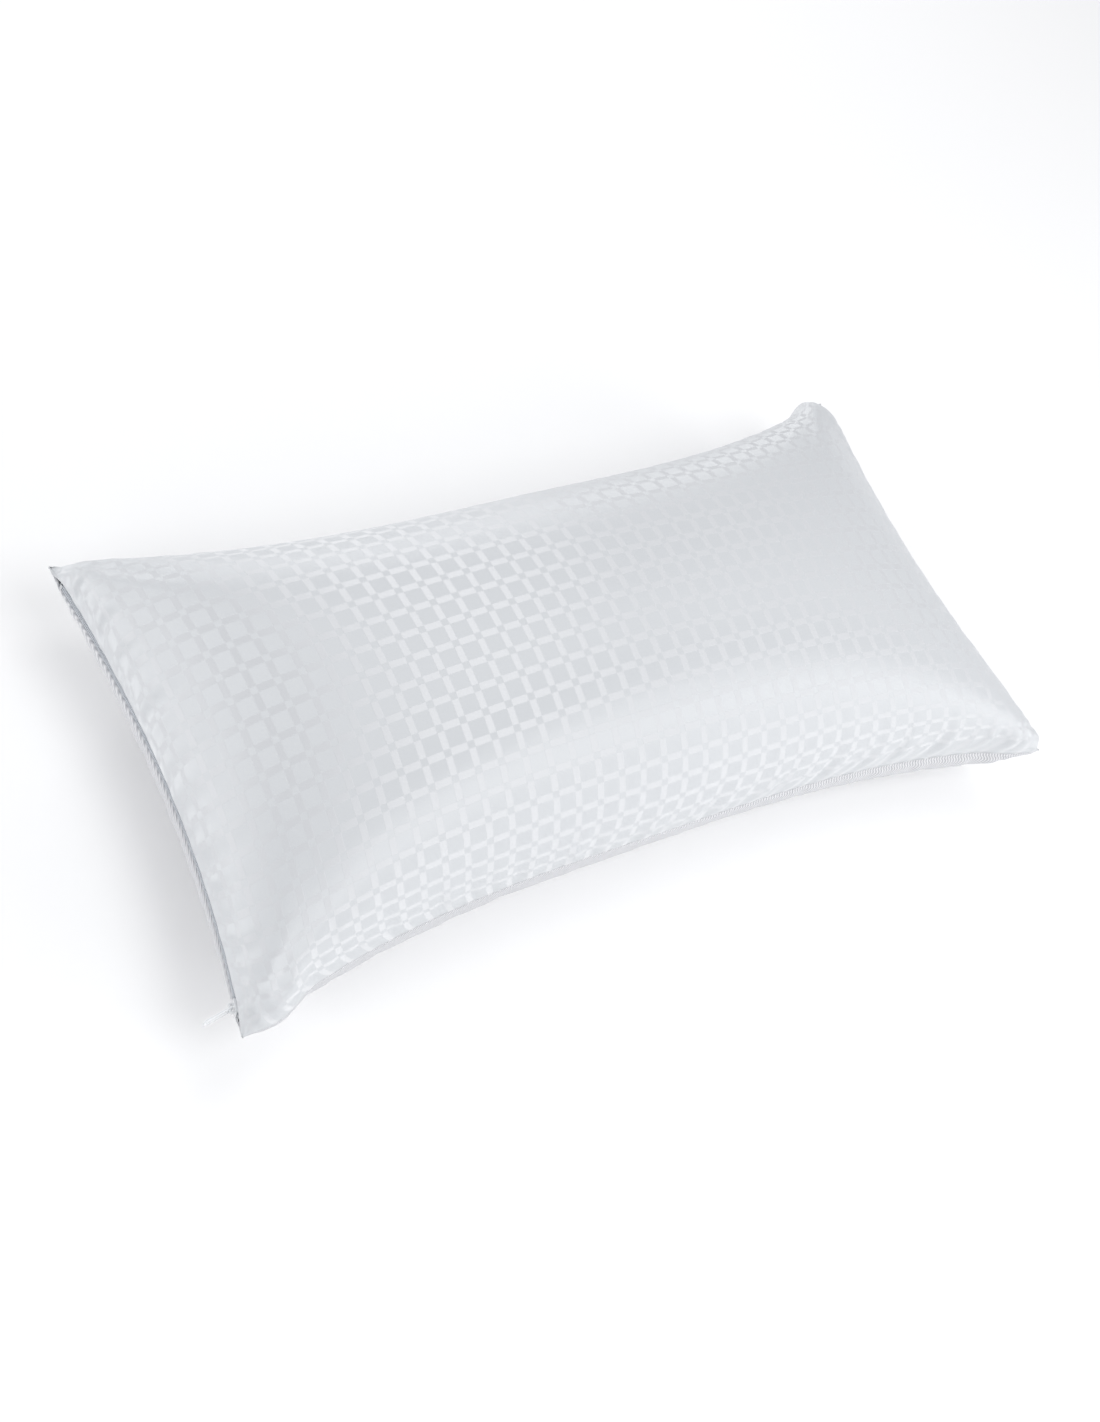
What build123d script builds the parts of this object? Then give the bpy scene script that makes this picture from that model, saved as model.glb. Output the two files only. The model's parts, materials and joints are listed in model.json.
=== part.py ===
"""Bed pillow: a zipped jacquard cover over a fibre-filled inner case. Millimetres, +X along the pillow
away from the zip, +Y across it, +Z up. The origin is on the floor, under the middle of the pillow."""

from build123d import *
import math
import os

# The stuffed cover
LENGTH = 700.0  # corner to corner along X
WIDTH = 372.0  # corner to corner along Y
LONG_BOW = 44.5  # how far the middle of a long edge pulls in
SHORT_BOW = 22.0  # how far the middle of a short edge pulls in
SEAM_HEIGHT = 62.0  # seam line above the floor, halfway along any edge
CORNER_LIFT = 14.0  # how much higher the four corners sit
CROWN = 128.0  # top of the pillow above the middle of the seam surface
BELLY_RELIEF = 0.5  # depth that the resting weight presses flat on the floor
PANEL = 1.2  # cover fabric
SURFACE_GRID = 33  # points each way on a soft surface
SURFACE_FIT = 0.01  # how closely a surface follows its points
FLOOR_CUT = 20.0
EDGE_GAP = 0.05  # each panel edge stands this far off the seam surface

# The filled inner case
CASE_INSET = 9.0
CASE_DROP = 2.2
CASE_PANEL = 0.7
CORE_INSET = 10.5
CORE_DROP = 3.6
RIM = 0.3  # half thickness of a closed soft solid at its edge

# The overlock thread inside a sewn edge
OVERLOCK_HALF = 0.3  # half its height
OVERLOCK_NEAR = 1.8  # from the seam line to its outer side
OVERLOCK_FAR = 3.6
OVERLOCK_REACH = 0.86  # share of the edge that it runs along
OVERLOCK_STEPS = 12  # stations on each half of the edge
OVERLOCK_ROWS = 3

# The coil zip, in its own section: N is outwards from the pillow, W is up across the tapes
TAPE_SETBACK = 3.6  # seam line to the middle of the tapes
SLOT = 5.2  # half the opening between the two panel edges at the zip
SLOT_RUN = 35.0  # how far in from the zip the opening fades out
SLOT_END = 2.0  # closed stretch at each corner
SLOT_TAPER = 9.0  # length over which each end of the opening closes
TAPE_HALF = 0.25
TAPE_WIDTH = 10.0
CHAIN_GAP = 0.7  # half the slit between the two coils
COIL_WIDTH = 2.5
COIL_HEIGHT = 2.0
COIL_ROUNDING = 0.9
CORD_RADIUS = 0.45
CORD_BORE = 0.5
THREAD = 0.25
COIL_STITCH_HALF = 0.3
TAPE_STITCH_NEAR = 7.2  # from the middle of the zip
TAPE_STITCH_FAR = 7.7
TAPE_STITCH_SHORT = 6.0  # how far it ends before the tape does
LAP = 0.02  # clearance between zip pieces that lie on one another
ZIP_END = 170.0  # half length of the tapes, measured along Y
STOP_LENGTH = 2.2
STOP_INNER = 1.0  # from the middle of the coil inwards
STOP_OUTER = 1.1  # from the middle of the coil outwards
STOP_GAP = 0.1  # each top stop clears the slit by this much
STOP_MARGIN = 1.2  # from the middle of the coil up its tape
BOX_MARGIN = 1.3  # the same for the bottom stop
CHAIN_MARGIN = 0.6  # coil past the slider at each limit

# The slider and its pull
SLIDER_LENGTH = 11.0
SLIDER_FRONT = 9.0
SLIDER_TAIL = 7.2
PLATE = 1.0
PLATE_CORNER = 1.0  # cut and rounding of the plates' corners
PLATE_WIDE_END = -1.0  # where the plates start to narrow, from the slider's middle
FUSE = 0.1  # overlap between parts of one casting
HOLLOW_HEIGHT = 9.0
RUNNING_GAP = 0.35
POST_HALF = 0.3
POST_LENGTH = 2.0
POST_INSET = 1.2  # from the slider's front to the middle of the post
BRIDGE_HALF = 1.1
BRIDGE_REACH = 3.6
BRIDGE_WALL = 1.1
BRIDGE_ROUND = 1.2
HINGE_LIFT = 1.2  # pull's bar axis above the outer plate
BAR_RADIUS = 0.55
PULL_LENGTH = 21.0
PULL_WIDTH = 5.8
PULL_THICK = 1.1
PULL_WINDOW_END = 4.6  # from the bar to the end of the window
PULL_HOLE = 1.3
WINDOW_OVERRUN = 1.0
PULL_LEAN = 23.0  # degrees from straight out, towards the near corner
SLIDER_REST_Y = -162.5
SLIDER_FAR_Y = 159.5

# Worked out from the above: the zip lies on a circular arc in a plane leaning about Y
ARC_SAG = math.hypot(SHORT_BOW, CORNER_LIFT)
ARC_RADIUS = ((WIDTH / 2) ** 2 + ARC_SAG**2) / (2 * ARC_SAG)
LEAN = math.atan2(CORNER_LIFT, SHORT_BOW)
ARC_X = Vector(math.cos(LEAN), 0, -math.sin(LEAN))
ARC_Z = Vector(math.sin(LEAN), 0, math.cos(LEAN))
ARC_MIDDLE = Vector(-LENGTH / 2 + SHORT_BOW, 0, SEAM_HEIGHT)
ARC_CENTRE = ARC_MIDDLE - ARC_X * ARC_RADIUS
ARC_FRAME = Plane(origin=tuple(ARC_CENTRE), x_dir=tuple(ARC_X), z_dir=tuple(ARC_Z))
PLATE_FLOOR = TAPE_HALF + LAP + COIL_HEIGHT + RUNNING_GAP
PLATE_TOP = PLATE_FLOOR + PLATE
INNER_PLATE_TOP = -TAPE_HALF - LAP - THREAD - RUNNING_GAP
HINGE_N = PLATE_TOP + HINGE_LIFT
CHAIN_END = SLIDER_REST_Y - SLIDER_LENGTH / 2 - CHAIN_MARGIN
FAR_CHAIN_END = SLIDER_FAR_Y + SLIDER_LENGTH / 2 + CHAIN_MARGIN
COIL_N = TAPE_HALF + LAP + COIL_HEIGHT / 2
COIL_W = CHAIN_GAP + COIL_WIDTH / 2


def smoothstep(value):
    held = min(1.0, max(0.0, value))
    return held * held * (3 - 2 * held)


def plan(u, v, inset):
    """Where a point of the cover lies, seen from above; u and v run from -1 to 1."""
    x = u * (LENGTH / 2 - inset - SHORT_BOW * (1 - v * v))
    y = v * (WIDTH / 2 - inset - LONG_BOW * (1 - abs(u) ** 3))
    return x, y


def seam_level(u, v):
    return SEAM_HEIGHT + CORNER_LIFT * (u * u + v * v - 1)


def slot_half(u, v):
    """How far the panel edge stands off the seam surface, to leave the zip's opening."""
    from_zip = (1 + u) * LENGTH / 2
    from_corner = (1 - abs(v)) * WIDTH / 2
    open_here = smoothstep(1 - from_zip / SLOT_RUN) * smoothstep((from_corner - SLOT_END) / SLOT_TAPER)
    return SLOT * open_here


def crown_shape(u, v):
    return max(0.0, 1 - abs(u) ** 1.6) ** 0.375 * max(0.0, 1 - abs(v) ** 1.98) ** 0.37


def belly_shape(u, v):
    """0 at the seam, and 1 where the pillow lies flat."""
    share = max(0.0, 1 - abs(u) ** 6) ** 0.75 * max(0.0, 1 - v * v) ** 0.6
    return 1 - (1 - share) ** 3


def upper_point(u, v, inset, drop, rim, slotted):
    x, y = plan(u, v, inset)
    opening = slot_half(u, v) if slotted else 0.0
    return Vector(x, y, seam_level(u, v) + rim + opening + (CROWN - drop) * crown_shape(u, v))


def lower_point(u, v, inset, drop, rim, slotted):
    x, y = plan(u, v, inset)
    opening = slot_half(u, v) if slotted else 0.0
    share = belly_shape(u, v)
    return Vector(x, y, (1 - share) * (seam_level(u, v) - rim - opening) + share * (drop - BELLY_RELIEF))


def even_sine(count):
    """Values from -1 to 1 that crowd towards the ends, where the cover curves most."""
    return [math.sin(math.pi * (i / (count - 1) - 0.5)) for i in range(count)]


def soft_face(point, *layer):
    """A smooth face through one layer: point gives its places, and layer their inset, drop, rim and slot."""
    steps = even_sine(SURFACE_GRID)
    rows = [[point(u, v, *layer) for v in steps] for u in steps]
    return Face.make_surface_from_array_of_points(rows, tol=SURFACE_FIT)


def edge_near(face, place):
    return min(face.edges(), key=lambda edge: (edge.position_at(0.5) - place).length)


def close_between(first, second):
    """A solid between two faces of the same outline, walled edge to edge."""
    walls = []
    for edge in first.edges():
        partner = edge_near(second, edge.position_at(0.5))
        walls.append(Face.make_surface_from_curves(edge, partner))
    solid = Solid(Shell([first, second, *walls]))
    return solid if solid.volume > 0 else Solid(solid.wrapped.Reversed())


def top_panel():
    outside = soft_face(upper_point, 0.0, 0.0, EDGE_GAP, True)
    inside = soft_face(upper_point, PANEL, PANEL, EDGE_GAP, True)
    return close_between(outside, inside)


def bottom_panel():
    outside = soft_face(lower_point, 0.0, 0.0, EDGE_GAP, True)
    inside = soft_face(lower_point, PANEL, PANEL, EDGE_GAP, True)
    floor_cut = Box(LENGTH, WIDTH, FLOOR_CUT, align=(Align.CENTER, Align.CENTER, Align.MAX))
    return close_between(outside, inside) - floor_cut


def inner_case_top():
    outside = soft_face(upper_point, CASE_INSET, CASE_DROP, EDGE_GAP, False)
    inside = soft_face(upper_point, CASE_INSET + CASE_PANEL, CASE_DROP + CASE_PANEL, EDGE_GAP, False)
    return close_between(outside, inside)


def inner_case_bottom():
    outside = soft_face(lower_point, CASE_INSET, CASE_DROP, EDGE_GAP, False)
    inside = soft_face(lower_point, CASE_INSET + CASE_PANEL, CASE_DROP + CASE_PANEL, EDGE_GAP, False)
    return close_between(outside, inside)


def fibre_core():
    above = soft_face(upper_point, CORE_INSET, CORE_DROP, RIM, False)
    below = soft_face(lower_point, CORE_INSET, CORE_DROP, RIM, False)
    return close_between(above, below)


def seam_thread(name):
    """The overlock thread just inside one sewn edge, short of the thin corners."""
    stations = [OVERLOCK_REACH * (i / OVERLOCK_STEPS - 1) for i in range(2 * OVERLOCK_STEPS + 1)]
    insets = [
        OVERLOCK_NEAR + (OVERLOCK_FAR - OVERLOCK_NEAR) * row / OVERLOCK_ROWS
        for row in range(OVERLOCK_ROWS + 1)
    ]

    def point(s, inset, side):
        u, v = {"front": (s, -1), "back": (s, 1), "end": (1, s)}[name]
        x, y = plan(u, v, inset)
        return Vector(x, y, seam_level(u, v) + side * OVERLOCK_HALF)

    def face(side):
        rows = [[point(s, inset, side) for inset in insets] for s in stations]
        return Face.make_surface_from_array_of_points(rows, tol=SURFACE_FIT)

    return close_between(face(1), face(-1))


def arc_angle(y):
    return math.degrees(math.asin(y / ARC_RADIUS))


def section_point(n, w):
    """A point of the zip's section, in the plane of the arc's centre line and radius."""
    outward = n - TAPE_SETBACK
    radius = ARC_RADIUS - outward * math.cos(LEAN) - w * math.sin(LEAN)
    return radius, w * math.cos(LEAN) - outward * math.sin(LEAN)


def along_zip(profile, start_y, end_y):
    """Sweeps a section, drawn in N and W, along the zip's arc between two places."""
    start = arc_angle(start_y)
    placed = Rot(0, 0, start) * profile
    swept = revolve(placed, axis=Axis.Z, revolution_arc=arc_angle(end_y) - start)
    return ARC_FRAME.location * swept


def section_plane(n, w):
    """The section's plane at one of its points, with X inwards to the pillow and Y up the tapes."""
    radius, height = section_point(n, w)
    return Plane(origin=(radius, 0, height), x_dir=(math.cos(LEAN), 0, math.sin(LEAN)), z_dir=(0, -1, 0))


def box_section(n_low, n_high, w_low, w_high):
    middle = section_plane((n_low + n_high) / 2, (w_low + w_high) / 2)
    return middle * Rectangle(abs(n_high - n_low), abs(w_high - w_low))


def zip_tape(side):
    profile = box_section(-TAPE_HALF, TAPE_HALF, side * CHAIN_GAP, side * TAPE_WIDTH)
    return along_zip(profile, -ZIP_END, ZIP_END)


def zip_coil(side):
    """One run of the nylon coil, drawn as the tube that its turns fill, with its cord's bore."""
    place = section_plane(COIL_N, side * COIL_W)
    outline = place * RectangleRounded(COIL_HEIGHT, COIL_WIDTH, COIL_ROUNDING)
    return along_zip(outline - place * Circle(CORD_BORE), CHAIN_END, FAR_CHAIN_END)


def coil_cord(side):
    profile = section_plane(COIL_N, side * COIL_W) * Circle(CORD_RADIUS)
    return along_zip(profile, CHAIN_END, FAR_CHAIN_END)


def coil_stitching(side):
    top = -TAPE_HALF - LAP
    near, far = COIL_W - COIL_STITCH_HALF, COIL_W + COIL_STITCH_HALF
    profile = box_section(top - THREAD, top, side * near, side * far)
    return along_zip(profile, CHAIN_END, FAR_CHAIN_END)


def tape_stitching(side):
    """The lockstitch that holds a tape to its panel, on the tape's inner face."""
    top = -TAPE_HALF - LAP
    profile = box_section(top - THREAD, top, side * TAPE_STITCH_NEAR, side * TAPE_STITCH_FAR)
    return along_zip(profile, TAPE_STITCH_SHORT - ZIP_END, ZIP_END - TAPE_STITCH_SHORT)


def top_stops():
    """Two small clips that end the coils, just past the closed slider."""
    clips = []
    near, far = CHAIN_GAP + STOP_GAP, COIL_W + STOP_MARGIN
    for side in (-1, 1):
        profile = box_section(COIL_N - STOP_INNER, COIL_N + STOP_OUTER, side * near, side * far)
        clips.append(along_zip(profile, CHAIN_END - LAP - STOP_LENGTH, CHAIN_END - LAP))
    return Compound(children=[clip.solid() for clip in clips])


def bottom_stop():
    """One box that holds both coils together at the far end."""
    reach = COIL_W + BOX_MARGIN
    profile = box_section(COIL_N - STOP_INNER, COIL_N + STOP_OUTER, -reach, reach)
    return along_zip(profile, FAR_CHAIN_END + LAP, FAR_CHAIN_END + LAP + STOP_LENGTH)


def slider_frame():
    """Its X runs along the zip, its Y up across the tapes and its Z out of the pillow."""
    turned = Rot(0, 0, arc_angle(SLIDER_REST_Y))
    outward = (-math.cos(LEAN), 0, -math.sin(LEAN))
    own = Plane(origin=section_plane(0, 0).origin, x_dir=(0, 1, 0), z_dir=outward)
    return ARC_FRAME.location * turned * own.location


def slider_plate(thickness):
    """A tapered plate with rounded ends: wide at the front, where the tapes part."""
    half = SLIDER_LENGTH / 2
    front, tail = SLIDER_FRONT / 2, SLIDER_TAIL / 2
    one_side = [(-half, front - PLATE_CORNER), (PLATE_WIDE_END, front), (half, tail)]
    outline = [(x, -y) for x, y in one_side] + one_side[::-1]
    plate = extrude(make_face(Polyline(*outline, close=True)), amount=thickness)
    return fillet(plate.edges().filter_by(Axis.Z), PLATE_CORNER)


def slider_body():
    """Two plates joined by the wedge at the front, side flanges, and the bridge over the pull's bar."""
    half = SLIDER_LENGTH / 2
    outer = Pos(0, 0, PLATE_FLOOR) * slider_plate(PLATE)
    inner = Pos(0, 0, INNER_PLATE_TOP - PLATE) * slider_plate(PLATE)
    flange_low = TAPE_HALF + RUNNING_GAP
    hollow = Box(2 * SLIDER_LENGTH, 2 * (CHAIN_GAP + COIL_WIDTH + RUNNING_GAP), HOLLOW_HEIGHT)
    skirt = Pos(0, 0, flange_low) * slider_plate(PLATE_FLOOR - flange_low)
    flanges = skirt - hollow
    post_height = PLATE_FLOOR - INNER_PLATE_TOP + 2 * FUSE
    post = Pos(POST_INSET - half, 0, INNER_PLATE_TOP - FUSE) * Box(
        POST_LENGTH, 2 * POST_HALF, post_height, align=(Align.CENTER, Align.CENTER, Align.MIN)
    )
    top = HINGE_LIFT + BAR_RADIUS + RUNNING_GAP + BRIDGE_WALL
    profile = Plane.XZ * Pos(0, PLATE_TOP - FUSE) * Rectangle(
        2 * BRIDGE_REACH, top + FUSE, align=(Align.CENTER, Align.MIN)
    )
    arch = extrude(profile, amount=BRIDGE_HALF, both=True)
    arch = fillet(arch.edges().filter_by(Axis.Y).group_by(Axis.Z)[-1], BRIDGE_ROUND)
    window = Pos(0, 0, PLATE_TOP) * Box(
        2 * (BRIDGE_REACH - BRIDGE_WALL),
        4 * BRIDGE_HALF,
        top - BRIDGE_WALL,
        align=(Align.CENTER, Align.CENTER, Align.MIN),
    )
    body = outer + inner + flanges + post + (arch - window)
    return slider_frame() * body


def pull_tab():
    """A flat tab with a window at its root, which the bridge passes through, and a hole at its tip."""
    arm_inner = BRIDGE_HALF + RUNNING_GAP
    arm_outer = PULL_WIDTH / 2
    tip = PULL_LENGTH - arm_outer
    plan_face = Pos(tip / 2, 0) * Rectangle(tip, PULL_WIDTH) + Pos(tip, 0) * Circle(arm_outer)
    window_middle = PULL_WINDOW_END / 2 - WINDOW_OVERRUN
    plan_face -= Pos(window_middle, 0) * Rectangle(PULL_WINDOW_END + 2 * WINDOW_OVERRUN, 2 * arm_inner)
    plan_face -= Pos(tip, 0) * Circle(PULL_HOLE)
    plate = extrude(plan_face, amount=PULL_THICK / 2, both=True)
    bar = Rot(90, 0, 0) * Cylinder(BAR_RADIUS, PULL_WIDTH)
    swing = Rot(0, -(90 + PULL_LEAN), 0)
    return slider_frame() * Pos(0, 0, HINGE_N) * swing * (plate + bar)


def pieces():
    """Every piece of the pillow by name."""
    made = {
        "top_panel": top_panel(),
        "bottom_panel": bottom_panel(),
        "inner_case_top": inner_case_top(),
        "inner_case_bottom": inner_case_bottom(),
        "fibre_core": fibre_core(),
    }
    for name in ("front", "back", "end"):
        made[f"seam_thread_{name}"] = seam_thread(name)
    for name, side in (("upper", 1), ("lower", -1)):
        made[f"zip_tape_{name}"] = zip_tape(side)
        made[f"zip_coil_{name}"] = zip_coil(side)
        made[f"coil_cord_{name}"] = coil_cord(side)
        made[f"coil_stitching_{name}"] = coil_stitching(side)
        made[f"tape_stitching_{name}"] = tape_stitching(side)
    made["top_stops"] = top_stops()
    made["bottom_stop"] = bottom_stop()
    made["slider_body"] = slider_body()
    made["pull_tab"] = pull_tab()
    return made


def main():
    os.makedirs("parts", exist_ok=True)
    for name, piece in pieces().items():
        export_step(piece, f"parts/{name}.step")
        print(name, round(piece.volume, 1), "mm3")
    far_turn = arc_angle(SLIDER_FAR_Y) - arc_angle(SLIDER_REST_Y)
    hinge = (slider_frame() * Pos(0, 0, HINGE_N)).position
    across = Plane(slider_frame()).y_dir
    print("zip arc: centre", ARC_CENTRE, "axis", ARC_Z)
    print("zip arc: radius", round(ARC_RADIUS, 2), "turn", round(far_turn, 2))
    print("pull: hinge", hinge, "axis", across)


if __name__ == "__main__":
    main()
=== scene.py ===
# %% [markdown]
# A bed pillow in a zipped damask cover. The CAD model is loaded first and stays fixed. It holds the zip,
# the threads and plain solids for the soft parts. This script replaces the soft solids with cloth that is
# inflated by simulation, gives the zip real turns of coil, and gives every piece its finish.
# Everything is in metres: +X runs away from the zip, +Y across the pillow and +Z up.

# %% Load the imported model
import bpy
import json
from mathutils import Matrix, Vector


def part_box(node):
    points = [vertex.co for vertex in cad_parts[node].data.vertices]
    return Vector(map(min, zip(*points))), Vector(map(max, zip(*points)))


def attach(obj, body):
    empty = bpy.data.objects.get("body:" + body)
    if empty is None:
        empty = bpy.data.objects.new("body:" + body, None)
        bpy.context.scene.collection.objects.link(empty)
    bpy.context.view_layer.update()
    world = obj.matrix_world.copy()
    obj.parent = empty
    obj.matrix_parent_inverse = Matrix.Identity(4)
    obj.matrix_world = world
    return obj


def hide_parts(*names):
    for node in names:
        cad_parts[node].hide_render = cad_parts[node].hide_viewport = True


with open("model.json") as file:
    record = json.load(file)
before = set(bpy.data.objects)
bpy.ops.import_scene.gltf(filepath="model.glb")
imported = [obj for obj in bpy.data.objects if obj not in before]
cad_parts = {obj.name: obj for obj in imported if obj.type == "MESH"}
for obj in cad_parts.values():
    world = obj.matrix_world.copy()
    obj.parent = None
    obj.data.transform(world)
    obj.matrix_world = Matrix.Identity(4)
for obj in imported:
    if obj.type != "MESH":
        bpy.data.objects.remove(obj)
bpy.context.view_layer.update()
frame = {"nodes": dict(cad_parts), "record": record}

# %% Modules and the scene
import json
import math

import bpy
import numpy as np
from mathutils import Matrix, Vector

scene = bpy.context.scene
scene.view_settings.view_transform = "Standard"

# %% [markdown]
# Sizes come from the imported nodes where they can. The seam of a stuffed cover bows in between its corners,
# because the cloth has to reach up over the filling, and the corners lift a little. At the zip the seam is a
# slot, which opens beside the tapes and is closed just beyond their ends.

# %% Sizes of the stuffed cover
top_low, top_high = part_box("top_panel")
bottom_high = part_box("bottom_panel")[1]
LENGTH = top_high.x - top_low.x
WIDTH = top_high.y - top_low.y
LONG_BOW = 0.0445
SHORT_BOW = 0.022
SEAM_HEIGHT = top_low.z
CORNER_LIFT = bottom_high.z - top_low.z
CROWN = top_high.z - SEAM_HEIGHT + CORNER_LIFT
FLAT_LENGTH = 0.752
FLAT_WIDTH = 0.410
FLOOR_GAP = 0.0006
# The slot: half its height, how far it runs in over the pillow, where it ends and how fast it closes there.
SLOT = 0.0052
SLOT_RUN = 0.035
SLOT_END = 0.0105
SLOT_TAPER = 0.0065
print("cover", round(LENGTH, 3), round(WIDTH, 3), "seam", round(SEAM_HEIGHT, 4), "crown", round(CROWN, 4))

# %% [markdown]
# The zip is sewn along a shallow arc. The CAD's zip_slide joint turns about that arc's centre, so its
# place and axis say where every piece of the zip runs, and each section of it is a turn of the same one.

# %% The zip's arc
slide = next(j for j in frame["record"]["behaviour"]["joints"] if j["name"] == "zip_slide")
ARC_CENTRE = Vector(slide["pos_m"])
ARC_AXIS = Vector(slide["axis"]).normalized()
ARC_OUT = Vector((0, 1, 0)).cross(ARC_AXIS).normalized()
LEAN = math.atan2(ARC_AXIS.x, ARC_AXIS.z)
ARC_RADIUS = (Vector((-LENGTH / 2, -WIDTH / 2, SEAM_HEIGHT + CORNER_LIFT)) - ARC_CENTRE).length
TAPE_SETBACK = 0.0036


def on_zip(turn, outward, up):
    """A point of the zip: turn along its arc in radians, then outwards from the pillow and up the tapes."""
    proud = outward - TAPE_SETBACK
    reach = ARC_RADIUS - proud * math.cos(LEAN) - up * math.sin(LEAN)
    rise = up * math.cos(LEAN) - proud * math.sin(LEAN)
    flat = ARC_OUT * math.cos(turn) + Vector((0, 1, 0)) * math.sin(turn)
    return ARC_CENTRE + flat * reach + ARC_AXIS * rise


print("arc radius", round(ARC_RADIUS, 4), "middle of the zip", on_zip(0, 0, 0))

# %% [markdown]
# Cloth does not stretch much, so a point of the flat panel has to land where the curved surface has used
# up the same length of cloth. The surface is a formula in u and v, and a running length along its middle
# lines turns flat distances into u and v. Near the seams the surface is straight, and there u is the flat
# distance itself.

# %% Sections of the stuffed shape
# Two powers for each section: the first keeps the middle flat, and the second makes the seams steep.
CROWN_ALONG, CROWN_ACROSS = (1.6, 0.375), (1.98, 0.37)
BELLY_ALONG, BELLY_ACROSS = (6, 0.75), (2, 0.6)
BELLY_FLATNESS = 3


def smoothstep(value):
    held = np.clip(value, 0, 1)
    return held * held * (3 - 2 * held)


def section(place, powers):
    """0 at the seams, where place is -1 or 1, and 1 in the middle."""
    middle, seams = powers
    return np.maximum(0, 1 - np.abs(place) ** middle) ** seams


def belly(u, v):
    """0 at the seams and 1 where the cover lies on the table."""
    return 1 - (1 - section(u, BELLY_ALONG) * section(v, BELLY_ACROSS)) ** BELLY_FLATNESS


for name, powers in (("along", CROWN_ALONG), ("across", CROWN_ACROSS)):
    print("crown", name, [round(float(section(place, powers)), 2) for place in (0, 0.5, 0.8, 0.95)])

# %% [markdown]
# The filling never reaches into the points of the corners, so each keeps a flat tip. The tips are slightly
# round where they were turned right side out, and beside some of them the long edge stands out again,
# stiffened by its seam allowance. A corner is named by its end, 1 away from the zip, and its side along Y.

# %% The corners
# From this far from a corner's point, along its diagonal, the filling begins, and it rises over TIP_RISE.
EMPTY_TIPS = {(1, 1): 0.015, (-1, 1): 0.007, (1, -1): 0.002, (-1, -1): 0.002}
TIP_RISE = 0.014
# A long edge stands out beside its corner by this much, from LOBE_START along it.
CORNER_LOBES = {(1, 1): 0.009, (-1, 1): 0.0, (1, -1): 0.003, (-1, -1): 0.0065}
LOBE_START = 0.83
CORNER_ROUND = {(1, 1): 0.005, (-1, 1): 0.008, (1, -1): 0.009, (-1, -1): 0.006}


def filled(u, v):
    """0 on the flat tip of a corner and 1 where the cover is full."""
    share = np.ones_like(u + v)
    for (end, side), tip in EMPTY_TIPS.items():
        from_point = ((1 - end * u) * LENGTH / 2 + (1 - side * v) * WIDTH / 2) / math.sqrt(2)
        share = np.minimum(share, np.sqrt(smoothstep((from_point - tip) / TIP_RISE)))
    return share


def rounded(u, v):
    """How far each place moves along X and Y: the square at a corner's point is pressed into a quarter disc."""
    move_x, move_y = 0 * (u + v), 0 * (u + v)
    for (end, side), radius in CORNER_ROUND.items():
        in_x = np.clip(radius - (1 - end * u) * LENGTH / 2, 0, radius) + 0 * v
        in_y = np.clip(radius - (1 - side * v) * WIDTH / 2, 0, radius) + 0 * u
        excess = 1 - np.maximum(in_x, in_y) / np.maximum(np.hypot(in_x, in_y), 1e-9)
        move_x = move_x - end * in_x * excess
        move_y = move_y - side * in_y * excess
    return move_x, move_y


def lobe(u, v):
    """How far each place moves out along Y beside the corners."""
    hump = np.sin(math.pi * np.clip((np.abs(u) - LOBE_START) / (1 - LOBE_START), 0, 1)) ** 2
    moved = 0 * (u + v)
    for (end, side), most in CORNER_LOBES.items():
        moved = moved + np.where((end * u > 0) & (side * v > 0), side * most, 0) * hump * v * v
    return moved


print("round corners, mm", [round(radius * 1000) for radius in CORNER_ROUND.values()])

# %% [markdown]
# Now the whole surface. An inset and a drop give the same shape, a little smaller and without the slot, for
# the pillow inside.

# %% The stuffed shape
def stuffed(u, v, upper, inset=0.0, drop=0.0):
    """Places on the stuffed shape for u and v from -1 to 1; upper says which panel."""
    x = u * (LENGTH / 2 - inset - SHORT_BOW * (1 - v * v))
    y = v * (WIDTH / 2 - inset - LONG_BOW * (1 - np.abs(u) ** 3)) + lobe(u, v)
    move_x, move_y = rounded(u, v)
    seam = SEAM_HEIGHT + CORNER_LIFT * (u * u + v * v - 1)
    from_zip = (1 + u) * LENGTH / 2
    from_corner = (1 - np.abs(v)) * WIDTH / 2
    slot = SLOT * smoothstep(1 - from_zip / SLOT_RUN) * smoothstep((from_corner - SLOT_END) / SLOT_TAPER)
    slot = slot * (inset == 0)
    crown = section(u, CROWN_ALONG) * section(v, CROWN_ACROSS) * filled(u, v)
    above = seam + slot + (CROWN - drop) * crown
    share = belly(u, v)
    below = (1 - share) * (seam - slot) + share * (FLOOR_GAP + drop)
    return np.stack([x + move_x, y + move_y, np.where(upper, above, below)], axis=-1)


print("middle of the top", stuffed(0, 0, True).round(4))


# %% Flat distances turned into u and v
CURVE_STEPS = 2001
SEAM_PULL = 0.8
ON_EDGE = 0.9999


def even_lengths(curve):
    """u or v at evenly spaced lengths along a curve, as a function of flat distance, and the length."""
    steps = np.sin(np.linspace(-math.pi / 2, math.pi / 2, CURVE_STEPS))
    run = np.concatenate([[0], np.cumsum(np.linalg.norm(np.diff(curve(steps), axis=0), axis=1))])
    return (lambda flat: np.interp(flat, 2 * run / run[-1] - 1, steps)), run[-1]


along_top, top_run = even_lengths(lambda u: stuffed(u, 0 * u, True))
across_top, top_girth = even_lengths(lambda v: stuffed(0 * v, v, True))
along_belly, belly_run = even_lengths(lambda u: stuffed(u, 0 * u, False))
across_belly, belly_girth = even_lengths(lambda v: stuffed(0 * v, v, False))
print("cloth over the top", round(top_run, 3), "by", round(top_girth, 3))
print("cloth under it", round(belly_run, 3), "by", round(belly_girth, 3))


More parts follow.
